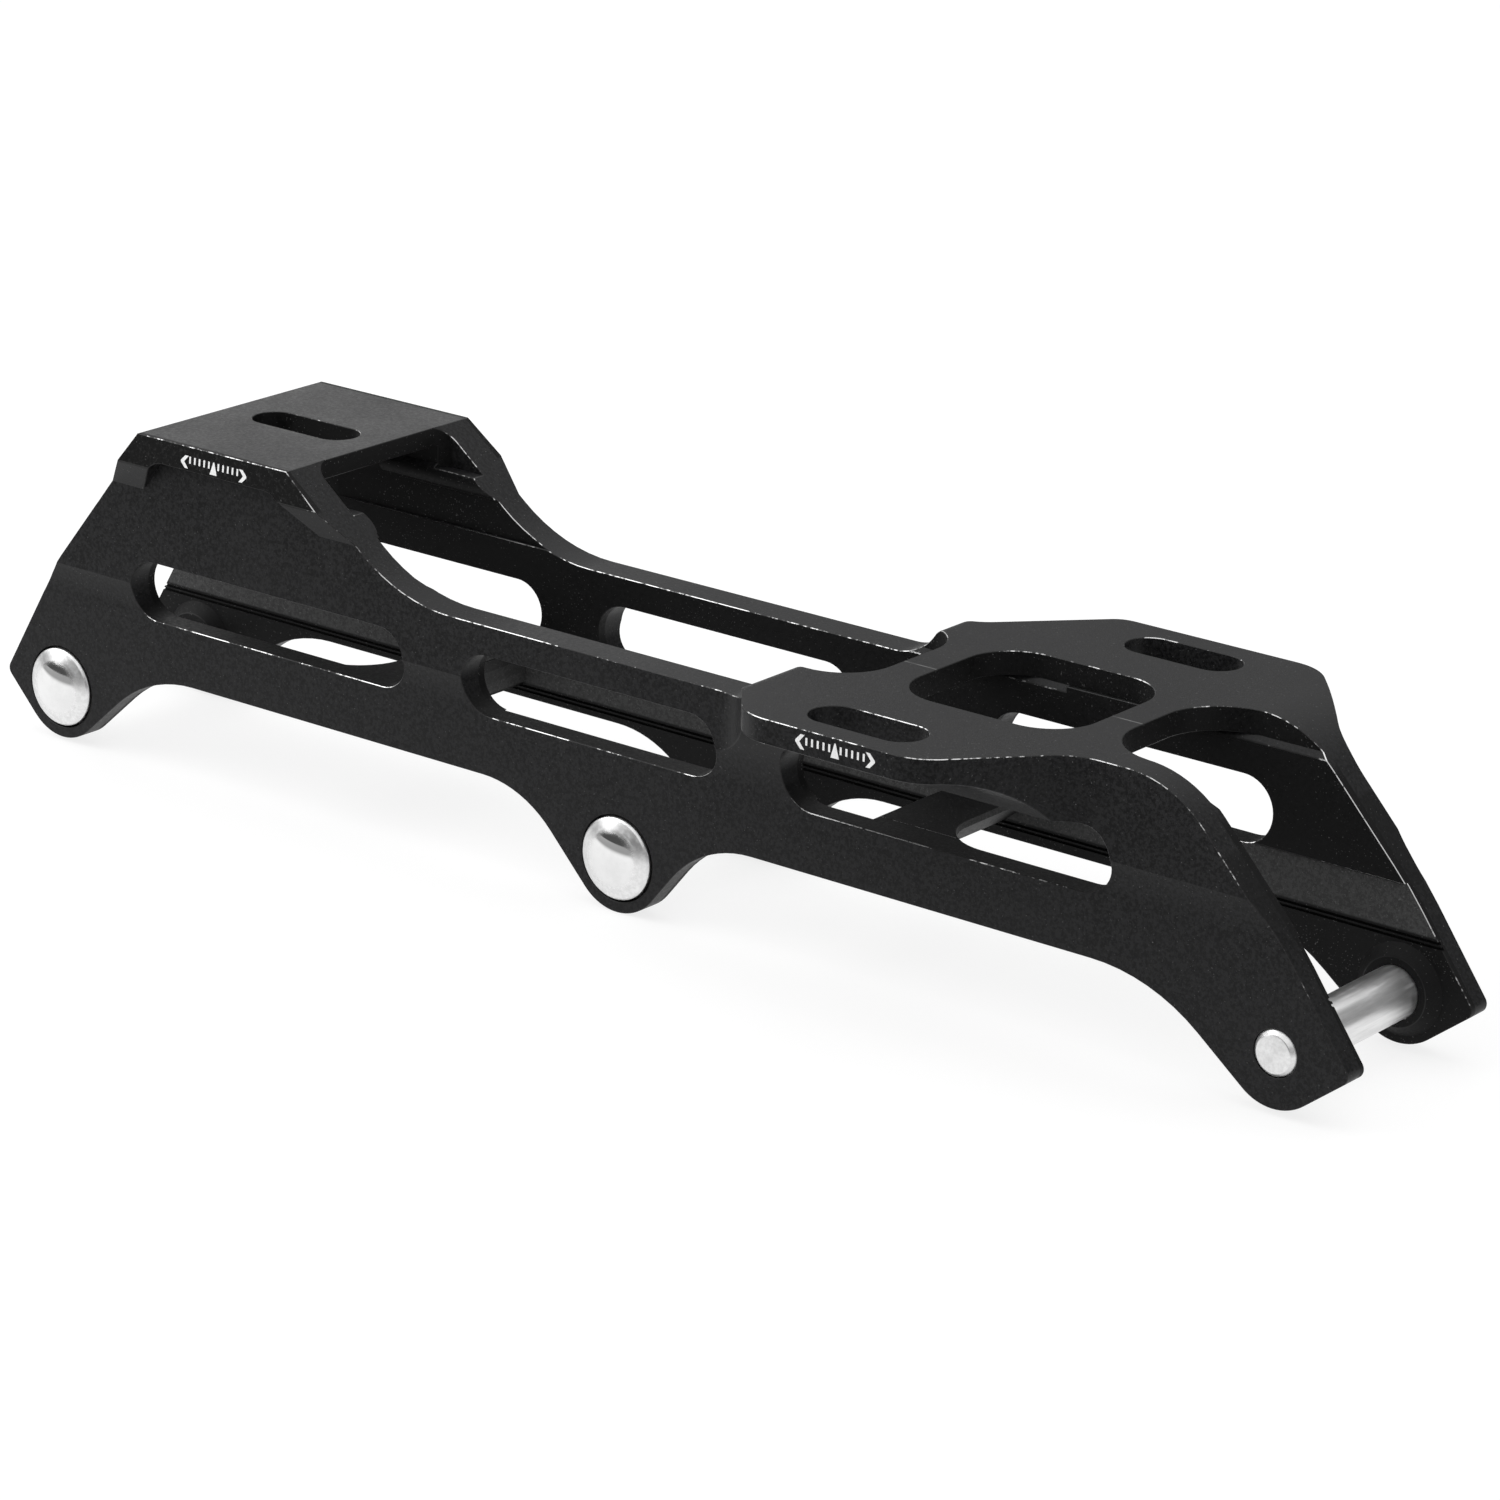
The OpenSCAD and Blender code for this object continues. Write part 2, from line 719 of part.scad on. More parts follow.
// An axle's head from its seat to the dome's crown, along +Z: a bevelled rim cut by a sphere
module head() {
    crown_r = head_d / 2 - head_bevel;
    dome_r = (pow(crown_r, 2) + pow(dome_h, 2)) / (2 * dome_h);
    blank_h = head_bevel + dome_h + over;
    intersection() {
        union() {
            cylinder(d = head_d, h = rim_h - head_bevel, $fn = 96);
            translate([0, 0, rim_h - head_bevel])
                cylinder(d1 = head_d, d2 = head_d - 2 * blank_h, h = blank_h, $fn = 96);
        }
        translate([0, 0, rim_h + dome_h - dome_r])
            sphere(r = dome_r, $fn = 128);
    }
}

// An axle with its head on the near side: the head, the shaft to the far wall and the threaded end
module axle_solid(station) {
    seat_y = -wall_y + counterbore_h - seat_gap;
    shoulder_y = boss_gap / 2 - seat_gap;
    tip_y = wall_y + end_proud;
    translate([station[0], seat_y, station[1]])
        rotate([90, 0, 0])
            head();
    rod_y(station, shaft_d / 2, seat_y, shoulder_y);
    rod_y(station, thread_d / 2, shoulder_y, tip_y - end_chamfer);
    translate([station[0], tip_y - end_chamfer, station[1]])
        rotate([-90, 0, 0])
            cylinder(d1 = thread_d, d2 = thread_d - 2 * end_chamfer, h = end_chamfer, $fn = 96);
}

// The hex socket that turns an axle, open towards the far side at a place
module hex_socket(station, mouth_y) {
    translate([station[0], mouth_y - socket_h, station[1]])
        rotate([-90, 0, 0])
            cylinder(d = socket_af / cos(30), h = socket_h + over, $fn = 6);
}

module rear_axle() {
    color([0.85, 0.85, 0.86])
        difference() {
            axle_solid(rear_station);
            hex_socket(rear_station, wall_y + end_proud);
        }
}

module middle_axle() {
    color([0.85, 0.85, 0.86])
        difference() {
            axle_solid(middle_station);
            hex_socket(middle_station, wall_y + end_proud);
        }
}

module front_axle() {
    head_y = wall_y - counterbore_h + seat_gap + rim_h + dome_h;
    color([0.85, 0.85, 0.86])
        difference() {
            mirror([0, 1, 0])
                axle_solid(front_station);
            hex_socket(front_station, head_y);
        }
}

frame_body();
rear_axle();
middle_axle();
front_axle();
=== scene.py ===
import math

import bmesh
import bpy
from mathutils import Matrix, Vector
from mathutils.bvhtree import BVHTree


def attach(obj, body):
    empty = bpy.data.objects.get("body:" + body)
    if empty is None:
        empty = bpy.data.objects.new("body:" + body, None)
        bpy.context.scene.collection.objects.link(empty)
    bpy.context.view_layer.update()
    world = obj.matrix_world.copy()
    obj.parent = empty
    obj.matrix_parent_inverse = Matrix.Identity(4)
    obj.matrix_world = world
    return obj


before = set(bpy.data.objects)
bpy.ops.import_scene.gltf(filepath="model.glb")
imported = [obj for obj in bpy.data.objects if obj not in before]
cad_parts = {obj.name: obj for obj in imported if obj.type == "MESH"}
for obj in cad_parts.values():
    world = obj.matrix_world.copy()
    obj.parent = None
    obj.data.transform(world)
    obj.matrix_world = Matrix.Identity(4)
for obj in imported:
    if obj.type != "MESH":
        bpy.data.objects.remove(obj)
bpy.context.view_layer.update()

MM = 0.001


# Places on the body, in metres: x along the frame, y across it from its middle, z up from the floor

# The walls' inner faces lie inside this
INNER_Y = 15.0 * MM
# The walls' outer faces lie inside this, and the axles' heads and ends stand out past it
OUTER_Y = 19.4 * MM
# Ahead of the front deck, only the far wall lies beyond this
FAR_WALL_Y = 9.0 * MM
# The rear deck's side bands lie outside the first and above the second
SIDE_BAND_Y = 20.45 * MM
SIDE_BAND_Z = 51.4 * MM
# Just below the walls' top edge between the decks
SPAN_Z = 39.0 * MM
# The windows' lower faces lie below this
SILL_Z = 35.5 * MM
# The plain strip of the inner faces between the grooves and the step, which gets painted light
STRIP_Z = (18.1 * MM, 24.9 * MM)
# The pair of grooves in the inner faces
GROOVE_Y = (13.8 * MM, 14.7 * MM)
GROOVE_Z = (16.2 * MM, 18.1 * MM)
# Edges below this are little rubbed in use
UNRUBBED_Z = 18.0 * MM
# The front deck's top lies ahead of the first and above the second
FRONT_DECK_X = 30.5 * MM
FRONT_DECK_Z = 44.7 * MM
# The slope down to the front axle lies ahead of this
FRONT_SLOPE_X = 102.0 * MM
# The hairline along the front deck
HAIRLINE_Y = (-2.3 * MM, -2.0 * MM)


# Node trees

class Tree:
    """Short calls for making the nodes of one material or world."""

    def __init__(self, owner):
        owner.use_nodes = True
        self.tree = owner.node_tree
        self.tree.nodes.clear()

    def put(self, socket, value):
        """Links another node's output to a socket, or sets the socket's own value."""
        if isinstance(value, bpy.types.NodeSocket):
            self.tree.links.new(value, socket)
        else:
            socket.default_value = value

    def put_all(self, sockets, values):
        for socket, value in zip(sockets, values):
            self.put(socket, value)

    def node(self, kind, settings=None, **inputs):
        made = self.tree.nodes.new(kind)
        for name, value in (settings or {}).items():
            setattr(made, name, value)
        for name, value in inputs.items():
            self.put(made.inputs[name.replace("_", " ")], value)
        return made

    def math(self, operation, *values):
        made = self.node("ShaderNodeMath", {"operation": operation})
        self.put_all(made.inputs, values)
        return made.outputs[0]

    def folded(self, operation, first, *rest):
        for value in rest:
            first = self.math(operation, first, value)
        return first

    def times(self, *values):
        return self.folded("MULTIPLY", *values)

    def plus(self, *values):
        return self.folded("ADD", *values)

    def largest(self, *values):
        return self.folded("MAXIMUM", *values)

    def size(self, value):
        return self.math("ABSOLUTE", value)

    def remap(self, value, low, high, to_low=0.0, to_high=1.0):
        """to_low where value is at or below low, to_high at or above high, and a smooth step between."""
        made = self.node("ShaderNodeMapRange", {"interpolation_type": "SMOOTHSTEP"}, Value=value,
                         From_Min=low, From_Max=high, To_Min=to_low, To_Max=to_high)
        return made.outputs["Result"]

    def above(self, value, level, soft):
        """1 where value is above the level and 0 where it is below, over soft each way."""
        return self.remap(value, level - soft, level + soft)

    def below(self, value, level, soft):
        """1 where value is below the level and 0 where it is above, over soft each way."""
        return self.remap(value, level - soft, level + soft, 1.0, 0.0)

    def within(self, value, limits, soft):
        """1 where value lies between the two limits, over soft each way."""
        return self.times(self.above(value, limits[0], soft), self.below(value, limits[1], soft))

    def mix_colour(self, share, a, b):
        made = self.node("ShaderNodeMix", {"data_type": "RGBA"})
        self.put_all((made.inputs[0], made.inputs[6], made.inputs[7]), (share, a, b))
        return made.outputs[2]

    def mix_number(self, share, a, b):
        made = self.node("ShaderNodeMix", {"data_type": "FLOAT"})
        self.put_all((made.inputs[0], made.inputs[2], made.inputs[3]), (share, a, b))
        return made.outputs[0]

    def mix_shader(self, share, a, b):
        made = self.node("ShaderNodeMixShader")
        self.put_all(made.inputs, (share, a, b))
        return made.outputs[0]

    def noise(self, where, per_metre, detail, rough):
        made = self.node("ShaderNodeTexNoise", {"noise_dimensions": "3D"}, Vector=where, Scale=per_metre,
                         Detail=detail, Roughness=rough)
        return made.outputs["Fac"]

    def stretched(self, where, factors):
        return self.node("ShaderNodeMapping", Vector=where, Scale=factors).outputs["Vector"]

    def parts(self, vector):
        """The x, y and z of a vector."""
        return tuple(self.node("ShaderNodeSeparateXYZ", Vector=vector).outputs)

    def place(self):
        """The position on the object, in metres."""
        return self.node("ShaderNodeTexCoord").outputs["Object"]

    def facing(self):
        """The flat surface's own direction, as x, y and z."""
        return self.parts(self.node("ShaderNodeNewGeometry").outputs["True Normal"])

    def seen(self):
        """Whether a ray shows its target to the camera, straight or by way of metal or glass."""
        paths = self.node("ShaderNodeLightPath").outputs
        return self.largest(paths["Is Camera Ray"], paths["Is Glossy Ray"], paths["Is Transmission Ray"])

    def mirrored(self):
        """Whether a ray comes from a glossy surface."""
        return self.node("ShaderNodeLightPath").outputs["Is Glossy Ray"]

    def surface(self, colour, gloss, height, strength, depth, **inputs):
        """The material's shader, with a fine bump."""
        bump = self.node("ShaderNodeBump", Strength=strength, Distance=depth, Height=height)
        shader = self.node("ShaderNodeBsdfPrincipled", Base_Color=colour, Roughness=gloss,
                           Normal=bump.outputs[0], **inputs)
        self.node("ShaderNodeOutputMaterial", Surface=shader.outputs[0])


def grey(level):
    return (level, level, level, 1.0)


def new_material(name):
    material = bpy.data.materials.new(name)
    return material, Tree(material)


# Materials

ANODISED_DARK = (0.0060, 0.0060, 0.0063, 1.0)
ANODISED_PALE = (0.0085, 0.0085, 0.0089, 1.0)
ANODISED_GRAIN = (0.026, 0.026, 0.027, 1.0)
# Where the black is thin, as in single grains and the hairline, round a bare place, and in it
THIN = grey(0.13)
RIM = grey(0.02)
BARE = grey(0.55)
# How far an edge is rubbed where its black starts to go, and where it is gone
RUBBED_BARE = (1.06, 1.22)
# How steel's marks are squeezed along x, y and z: rings go round an axle, scuffs lie along it
RINGS = (0.02, 1.0, 0.02)
SCUFFS = (1.0, 0.08, 1.0)


def anodised_base(t, where, up):
    """Base colour, roughness and grain of bead-blasted, black anodised aluminium, with painted shade
    between the walls and on the sills, and a strip of painted light low on the walls' inner faces.

    up is 1 on a face that looks straight up, 0 on an upright one and -1 on one that looks down.
    """
    grain = t.noise(where, per_metre=1900.0, detail=3.0, rough=0.7)
    fine = t.noise(where, per_metre=3400.0, detail=1.0, rough=0.5)
    cloud = t.noise(where, per_metre=60.0, detail=3.0, rough=0.5)
    _, y, z = t.parts(where)
    away = t.size(y)
    # The rear deck's side bands, milled smoother than the rest
    band = t.times(t.above(away, SIDE_BAND_Y, 0.15 * MM), t.above(z, SIDE_BAND_Z, 0.2 * MM))
    # What lies between the walls, with the windows' sills but without the walls' top edges and the decks,
    # where the colour is darkened as painted shade
    sheltered = t.largest(t.below(up, 0.45, 0.15), t.below(z, SPAN_Z, 1.0 * MM))
    painted_shade_sill = t.times(t.above(up, 0.65, 0.15), t.below(z, SILL_Z, 0.5 * MM), t.below(away, OUTER_Y, 0.2 * MM))
    painted_shade_inside = t.largest(t.times(t.below(away, INNER_Y, 0.1 * MM), sheltered), painted_shade_sill)
    walls = t.times(painted_shade_inside, t.below(t.size(up), 0.3, 0.1))
    painted_light_strip = t.times(walls, t.within(z, STRIP_Z, 0.2 * MM))

    base = t.mix_colour(t.remap(cloud, 0.3, 0.7), ANODISED_DARK, ANODISED_PALE)
    base = t.mix_colour(t.remap(grain, 0.38, 0.62, to_high=0.6), base, ANODISED_GRAIN)
    # Painted shade: the faces between the walls and the sills are darkened nearly to black
    base = t.mix_colour(t.times(painted_shade_inside, 0.75), base, grey(0.001))
    # Painted light: the strip on the inner faces is made lighter, as if lit from below
    base = t.mix_colour(painted_light_strip, base, t.mix_colour(t.remap(grain, 0.4, 0.6), grey(0.042), grey(0.068)))
    base = t.mix_colour(band, base, t.mix_colour(t.remap(grain, 0.5, 0.66), grey(0.0025), grey(0.016)))
    # Single bright grains, more of them on the walls' inner faces
    more = t.times(walls, t.remap(cloud, 0.4, 0.6), 0.04)
    sparkle = t.plus(more, fine, t.times(painted_light_strip, 0.03))
    base = t.mix_colour(t.remap(sparkle, 0.70, 0.80, to_high=0.7), base, THIN)
    gloss = t.plus(t.remap(cloud, 0.3, 0.7, to_low=0.40, to_high=0.46),
                   t.remap(grain, 0.3, 0.7, to_low=-0.08, to_high=0.08),
                   t.times(t.largest(band, painted_shade_inside), 0.16))
    return base, gloss, grain


def anodised():
    """The body's own surface, with the hairline that the extrusion leaves along the front deck."""
    material, t = new_material("anodised_aluminium")
    where = t.place()
    x, y, z = t.parts(where)
    up = t.facing()[2]
    base, gloss, grain = anodised_base(t, where, up)
    front_top = t.times(t.above(x, FRONT_DECK_X, 0.5 * MM), t.above(z, FRONT_DECK_Z, 0.1 * MM))
    hairline = t.times(t.within(y, HAIRLINE_Y, 0.03 * MM), front_top)
    uneven = t.noise(where, per_metre=300.0, detail=2.0, rough=0.5)
    faint = t.remap(uneven, 0.3, 0.6, to_low=0.25)
    base = t.mix_colour(t.times(hairline, faint), base, THIN)
    t.surface(base, gloss, height=grain, strength=0.5, depth=0.04 * MM, IOR=1.24)
    return material


def worn_edge():
    """The same, rubbed through to bare metal in broken lengths where an edge faces up and outward."""
    material, t = new_material("worn_edge")
    where = t.place()
    x, y, z = t.parts(where)
    ahead, aside, up = t.facing()
    base, gloss, _ = anodised_base(t, where, up)
    length = t.noise(where, per_metre=90.0, detail=3.0, rough=0.6)
    chips = t.noise(where, per_metre=1300.0, detail=2.0, rough=0.6)
    # Each of these adds to how far the edge is rubbed, or takes from it
    not_up = t.remap(up, 0.1, 0.5, to_low=-0.25, to_high=0.0)
    to_near_side = t.remap(aside, -0.5, -0.1, to_low=0.06, to_high=-0.10)
    to_an_end = t.remap(t.size(ahead), 0.35, 0.65, to_high=-0.12)
    low_down = t.times(t.below(z, UNRUBBED_Z, 2.0 * MM), -0.4)
    far_slope = t.times(t.above(y, FAR_WALL_Y, 1.0 * MM), t.above(x, FRONT_SLOPE_X, 2.0 * MM))
    far_slope_edge = t.times(far_slope, t.remap(aside, -0.5, -0.1, to_low=0.32, to_high=0.0))
    rubbed = t.plus(t.times(length, 1.4), t.times(chips, 0.7), not_up, to_near_side, to_an_end, low_down,
                    far_slope_edge)
    bare = t.remap(rubbed, *RUBBED_BARE)
    base = t.mix_colour(bare, t.mix_colour(0.5, base, RIM), BARE)
    gloss = t.remap(bare, 0.0, 1.0, to_low=0.40, to_high=0.30)
    t.surface(base, gloss, height=chips, strength=0.3, depth=0.03 * MM, IOR=1.3, Metallic=bare)
    return material


def steel():
    """Polished heads and ends and a turned shaft, told apart by how far out they are."""
    material, t = new_material("axle_steel")
    where = t.place()
    y = t.parts(where)[1]
    outside = t.above(t.size(y), OUTER_Y, 0.2 * MM)
    rings = t.noise(t.stretched(where, RINGS), per_metre=9000.0, detail=3.0, rough=0.6)
    scuffs = t.noise(t.stretched(where, SCUFFS), per_metre=1400.0, detail=4.0, rough=0.65)
    smudge = t.noise(where, per_metre=240.0, detail=3.0, rough=0.6)
    shaft = t.mix_colour(t.remap(scuffs, 0.35, 0.7), grey(0.74), grey(0.88))
    head = t.mix_colour(t.remap(smudge, 0.35, 0.7), grey(0.84), grey(0.78))
    shaft_gloss = t.plus(t.remap(rings, 0.3, 0.7, to_low=0.30, to_high=0.38),
                         t.remap(scuffs, 0.5, 0.75, to_high=0.10))
    head_gloss = t.remap(smudge, 0.35, 0.7, to_low=0.03, to_high=0.08)
    height = t.times(rings, t.math("SUBTRACT", 1.0, outside))
    turned = t.node("ShaderNodeTangent", {"direction_type": "RADIAL", "axis": "Y"})
    t.surface(t.mix_colour(outside, shaft, head), t.mix_number(outside, shaft_gloss, head_gloss),
              height=height, strength=0.05, depth=0.02 * MM, Metallic=1.0, Tangent=turned.outputs[0],
              Anisotropic=0.5, Anisotropic_Rotation=0.25)
    return material


def print_white():
    """White screen print, slightly thin and chalky."""
    material, t = new_material("printed_white")
    thin = t.noise(t.place(), per_metre=3500.0, detail=3.0, rough=0.6)
    base = t.mix_colour(t.remap(thin, 0.35, 0.65), grey(0.82), grey(0.93))
    gloss = t.remap(thin, 0.3, 0.7, to_low=0.45, to_high=0.6)
    t.surface(base, gloss, height=thin, strength=0.3, depth=0.02 * MM)
    return material


# Dressing the CAD nodes

# Faces that meet at more than this are shaded apart
SHARP = math.radians(12)
# Outward edges past this are bevelled
BROKEN = math.radians(25)
# Faces that meet at less than this are joined before the bevel
FLAT = math.radians(0.2)
# Points closer than this are joined, first in the imported mesh and then after the bevel
JOIN_WITHIN = 0.002 * MM
MERGE_WITHIN = 0.0001 * MM
# Widths of the bevels on broken edges
BODY_BEVEL = 0.10 * MM
AXLE_BEVEL = 0.08 * MM


class Group:
    """Short calls for making one group of geometry nodes."""

    def __init__(self, name):
        self.group = bpy.data.node_groups.new(name, "GeometryNodeTree")
        for way in ("INPUT", "OUTPUT"):
            self.group.interface.new_socket("Geometry", in_out=way, socket_type="NodeSocketGeometry")
        self.geometry = self.node("NodeGroupInput").outputs[0]

    def node(self, kind, settings=None):
        made = self.group.nodes.new(kind)
        for name, value in (settings or {}).items():
            setattr(made, name, value)
        return made

    def link(self, output, socket):
        self.group.links.new(output, socket)

    def finish(self, geometry):
        self.link(geometry, self.node("NodeGroupOutput").inputs[0])
        return self.group

    def edge_angle(self, kind):
        return self.node("GeometryNodeInputMeshEdgeAngle").outputs[kind]

    def compared(self, value, level, operation="GREATER_THAN"):
        made = self.node("FunctionNodeCompare", {"data_type": "FLOAT", "operation": operation})
        made.inputs[1].default_value = level
        self.link(value, made.inputs[0])
        return made.outputs[0]

    def both(self, a, b, operation="AND"):
        made = self.node("FunctionNodeBooleanMath", {"operation": operation})
        self.link(a, made.inputs[0])
        self.link(b, made.inputs[1])
        return made.outputs[0]

    def between(self, value, limits):
        low, high = limits
        return self.both(self.compared(value, low), self.compared(value, high, "LESS_THAN"))

    def shade(self, geometry, domain, smooth):
        made = self.node("GeometryNodeSetShadeSmooth", {"domain": domain})
        made.inputs["Shade Smooth"].default_value = smooth
        self.link(geometry, made.inputs["Geometry"])
        return made


def smooth_by_angle():
    """Geometry nodes that shade smooth, with hard edges where faces meet at more than SHARP."""
    g = Group("smooth_by_angle")
    faces = g.shade(g.geometry, "FACE", True)
    edges = g.shade(faces.outputs[0], "EDGE", False)
    g.link(g.compared(g.edge_angle("Unsigned Angle"), SHARP), edges.inputs["Selection"])
    return g.finish(edges.outputs[0])


def convex_edges():
    """Geometry nodes that give outward edges past BROKEN a bevel weight, but not the grooves' edges."""
    g = Group("convex_edges")
    outward = g.compared(g.edge_angle("Signed Angle"), BROKEN)
    split = g.node("ShaderNodeSeparateXYZ")
    g.link(g.node("GeometryNodeInputPosition").outputs[0], split.inputs[0])
    away = g.node("ShaderNodeMath", {"operation": "ABSOLUTE"})
    g.link(split.outputs[1], away.inputs[0])
    groove = g.both(g.between(split.outputs[2], GROOVE_Z), g.between(away.outputs[0], GROOVE_Y))
    store = g.node("GeometryNodeStoreNamedAttribute", {"data_type": "FLOAT", "domain": "EDGE"})
    store.inputs["Name"].default_value = "bevel_weight_edge"
    g.link(g.geometry, store.inputs["Geometry"])
    g.link(g.both(outward, groove, "NIMPLY"), store.inputs["Value"])
    return g.finish(store.outputs[0])


SHADING = smooth_by_angle()
WEIGHTS = convex_edges()


def dress(name, materials, bevel_width):
    """Joins the imported mesh, breaks its edges, and gives it its materials, the last on the edges."""
    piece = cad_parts[name]
    mesh = piece.data
    if "custom_normal" in mesh.attributes:
        mesh.attributes.remove(mesh.attributes["custom_normal"])
    mesh.materials.clear()
    for material in materials:
        mesh.materials.append(material)
    weld = piece.modifiers.new("weld", "WELD")
    weld.merge_threshold = JOIN_WITHIN
    flat = piece.modifiers.new("flat", "DECIMATE")
    flat.decimate_type = "DISSOLVE"
    flat.angle_limit = FLAT
    outward = piece.modifiers.new("outward", "NODES")
    outward.node_group = WEIGHTS
    bevel = piece.modifiers.new("edges", "BEVEL")
    bevel.width = bevel_width
    bevel.segments = 1
    bevel.limit_method = "WEIGHT"
    bevel.use_clamp_overlap = False
    bevel.material = len(materials) - 1
    merge = piece.modifiers.new("merge", "WELD")
    merge.merge_threshold = MERGE_WITHIN
    smooth = piece.modifiers.new("shade", "NODES")
    smooth.node_group = SHADING


black = anodised()
edge = worn_edge()
bright = steel()
dress("frame_body", [black, edge], BODY_BEVEL)
for axle in ("rear_axle", "middle_axle", "front_axle"):
    dress(axle, [bright], AXLE_BEVEL)


# Printed scales: five ticks each side of a pointer, with a bold chevron at each end

PRINT_PROUD = 0.02 * MM
PRINT_SUNK = 0.05 * MM
# A place in front of the near side, from which its surface is looked for
START_Y = -80.0 * MM

# Sizes of the marks, in millimetres, sideways from the middle of the scale or of the mark
TICKS = (1, 2, 3, 4, 5)
TICK_PITCH = 1.01
TICK_HALF_W = 0.17
POINTER_FOOT = 0.75
POINTER_TIP = 0.1
CHEVRON_FOOT = 6.1
CHEVRON_TIP = 7.0
CHEVRON_BLUNT = 0.15
CHEVRON_STROKE = 0.7


def surface_of(name):
    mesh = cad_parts[name].data
    return BVHTree.FromPolygons([v.co for v in mesh.vertices], [p.vertices for p in mesh.polygons])


body = surface_of("frame_body")


def on_near_side(x, z):
    """The point and direction of the near side's surface at x, z."""
    hit, normal, _, _ = body.ray_cast(Vector((x, START_Y, z)), Vector((0, 1, 0)))
    return hit, normal


def printed(name, outlines, material):
    """Thin printed shapes on the near side. Each outline is a list of x, z in millimetres."""
    mesh = bmesh.new()
    for outline in outlines:
        outer = []
        inner = []
        for x, z in outline:
            hit, normal = on_near_side(x * MM, z * MM)
            outer.append(mesh.verts.new(hit + normal * PRINT_PROUD))
            inner.append(mesh.verts.new(hit - normal * PRINT_SUNK))
        count = len(outline)
        mesh.faces.new(outer)
        mesh.faces.new(list(reversed(inner)))
        for i in range(count):
            j = (i + 1) % count
            mesh.faces.new((outer[j], outer[i], inner[i], inner[j]))
    bmesh.ops.recalc_face_normals(mesh, faces=mesh.faces)
    data = bpy.data.meshes.new(name)
    mesh.to_mesh(data)
    mesh.free()
    data.materials.append(material)
    piece = bpy.data.objects.new(name, data)
    bpy.context.scene.collection.objects.link(piece)
    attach(piece, "frame")


def upright(x, z, foot, tip, half_h):
    """A mark that stands at x, z, and is foot wide each way at its bottom and tip at its top."""
    return [(x - foot, z - half_h), (x + foot, z - half_h), (x + tip, z + half_h), (x - tip, z + half_h)]


def chevron(centre, side, z, half_h):
    foot = centre + side * CHEVRON_FOOT
    tip = centre + side * CHEVRON_TIP
    inward = side * CHEVRON_STROKE
    return [(foot, z + half_h), (tip, z + CHEVRON_BLUNT), (tip, z - CHEVRON_BLUNT), (foot, z - half_h),
            (foot - inward, z - half_h), (tip - inward, z), (foot - inward, z + half_h)]


def scale_marks(centre, tick_z, tick_h, middle_z, half_h):
    marks = []
    for step in TICKS:
        for side in (-1, 1):
            x = centre + side * step * TICK_PITCH
            marks.append(upright(x, tick_z, TICK_HALF_W, TICK_HALF_W, tick_h / 2))
    marks.append(upright(centre, middle_z, POINTER_FOOT, POINTER_TIP, half_h))
    for side in (-1, 1):
        marks.append(chevron(centre, side, middle_z, half_h))
    return marks


white = print_white()
front_marks = scale_marks(centre=54.2, tick_z=43.2, tick_h=1.15, middle_z=43.0, half_h=1.1)
rear_marks = scale_marks(centre=-79.6, tick_z=54.6, tick_h=1.1, middle_z=54.2, half_h=1.0)
printed("front_scale", front_marks, white)
printed("rear_scale", rear_marks, white)


# Camera

CAMERA_PLACE = Vector((0.48149, -0.60126, 0.28861))
CAMERA_AZIMUTH = math.radians(38.063)
CAMERA_ELEVATION = math.radians(19.138)
CAMERA_ROLL = math.radians(1.376)
# Lens and sensor in millimetres, nearest and farthest sight in metres
LENS = 129.11
SENSOR_W = 36.0
SIGHT = (0.05, 20.0)


def place_camera():
    level = math.cos(CAMERA_ELEVATION)
    back = Vector((math.sin(CAMERA_AZIMUTH) * level, -math.cos(CAMERA_AZIMUTH) * level,
                   math.sin(CAMERA_ELEVATION)))
    right = (-back).cross(Vector((0, 0, 1))).normalized()
    down = (-back).cross(right)
    across = right * math.cos(CAMERA_ROLL) - down * math.sin(CAMERA_ROLL)
    below = right * math.sin(CAMERA_ROLL) + down * math.cos(CAMERA_ROLL)
    data = bpy.data.cameras.new("camera")
    data.sensor_width = SENSOR_W
    data.lens = LENS
    data.clip_start, data.clip_end = SIGHT
    camera = bpy.data.objects.new("camera", data)
    bpy.context.scene.collection.objects.link(camera)
    turn = Matrix((across, -below, back)).transposed().to_4x4()
    camera.matrix_world = Matrix.Translation(CAMERA_PLACE) @ turn
    bpy.context.scene.camera = camera


place_camera()


# Studio

FLOOR_HALF = 1.5
# The floor lies this far under the lugs, so that no face lies in it
FLOOR_DROP = 0.05 * MM
FLOOR_GLOW = 0.8
# Strength of the room's light on the object
ROOM_LIGHT = 0.65
# What metal mirrors as dark, and how dark. The floor darkens forward from the second place to the first.
FRONT_FLOOR_Y = (-0.10, -0.06)
FRONT_FLOOR_DARK = 0.7
# The room in front: turns from straight ahead, to the left and right, and heights of the direction
FRONT_TURNS = (math.radians(-85), math.radians(60))
FRONT_TURNS_SOFT = math.radians(12)
FRONT_HEIGHTS = (-0.2, 0.36)
FRONT_HEIGHTS_SOFT = 0.06
FRONT_DARK = 0.92
# The room behind, low down and to the right, by the direction's x, y and z
LOW_BEHIND_Y = (0.1, 0.4)
LOW_BEHIND_Z = (0.3, 0.55)
LOW_BEHIND_DARK = 0.66
RIGHT_BEHIND_X = (0.12, 0.3)
RIGHT_BEHIND_Y = (0.2, 0.5)
RIGHT_BEHIND_DARK = 0.7


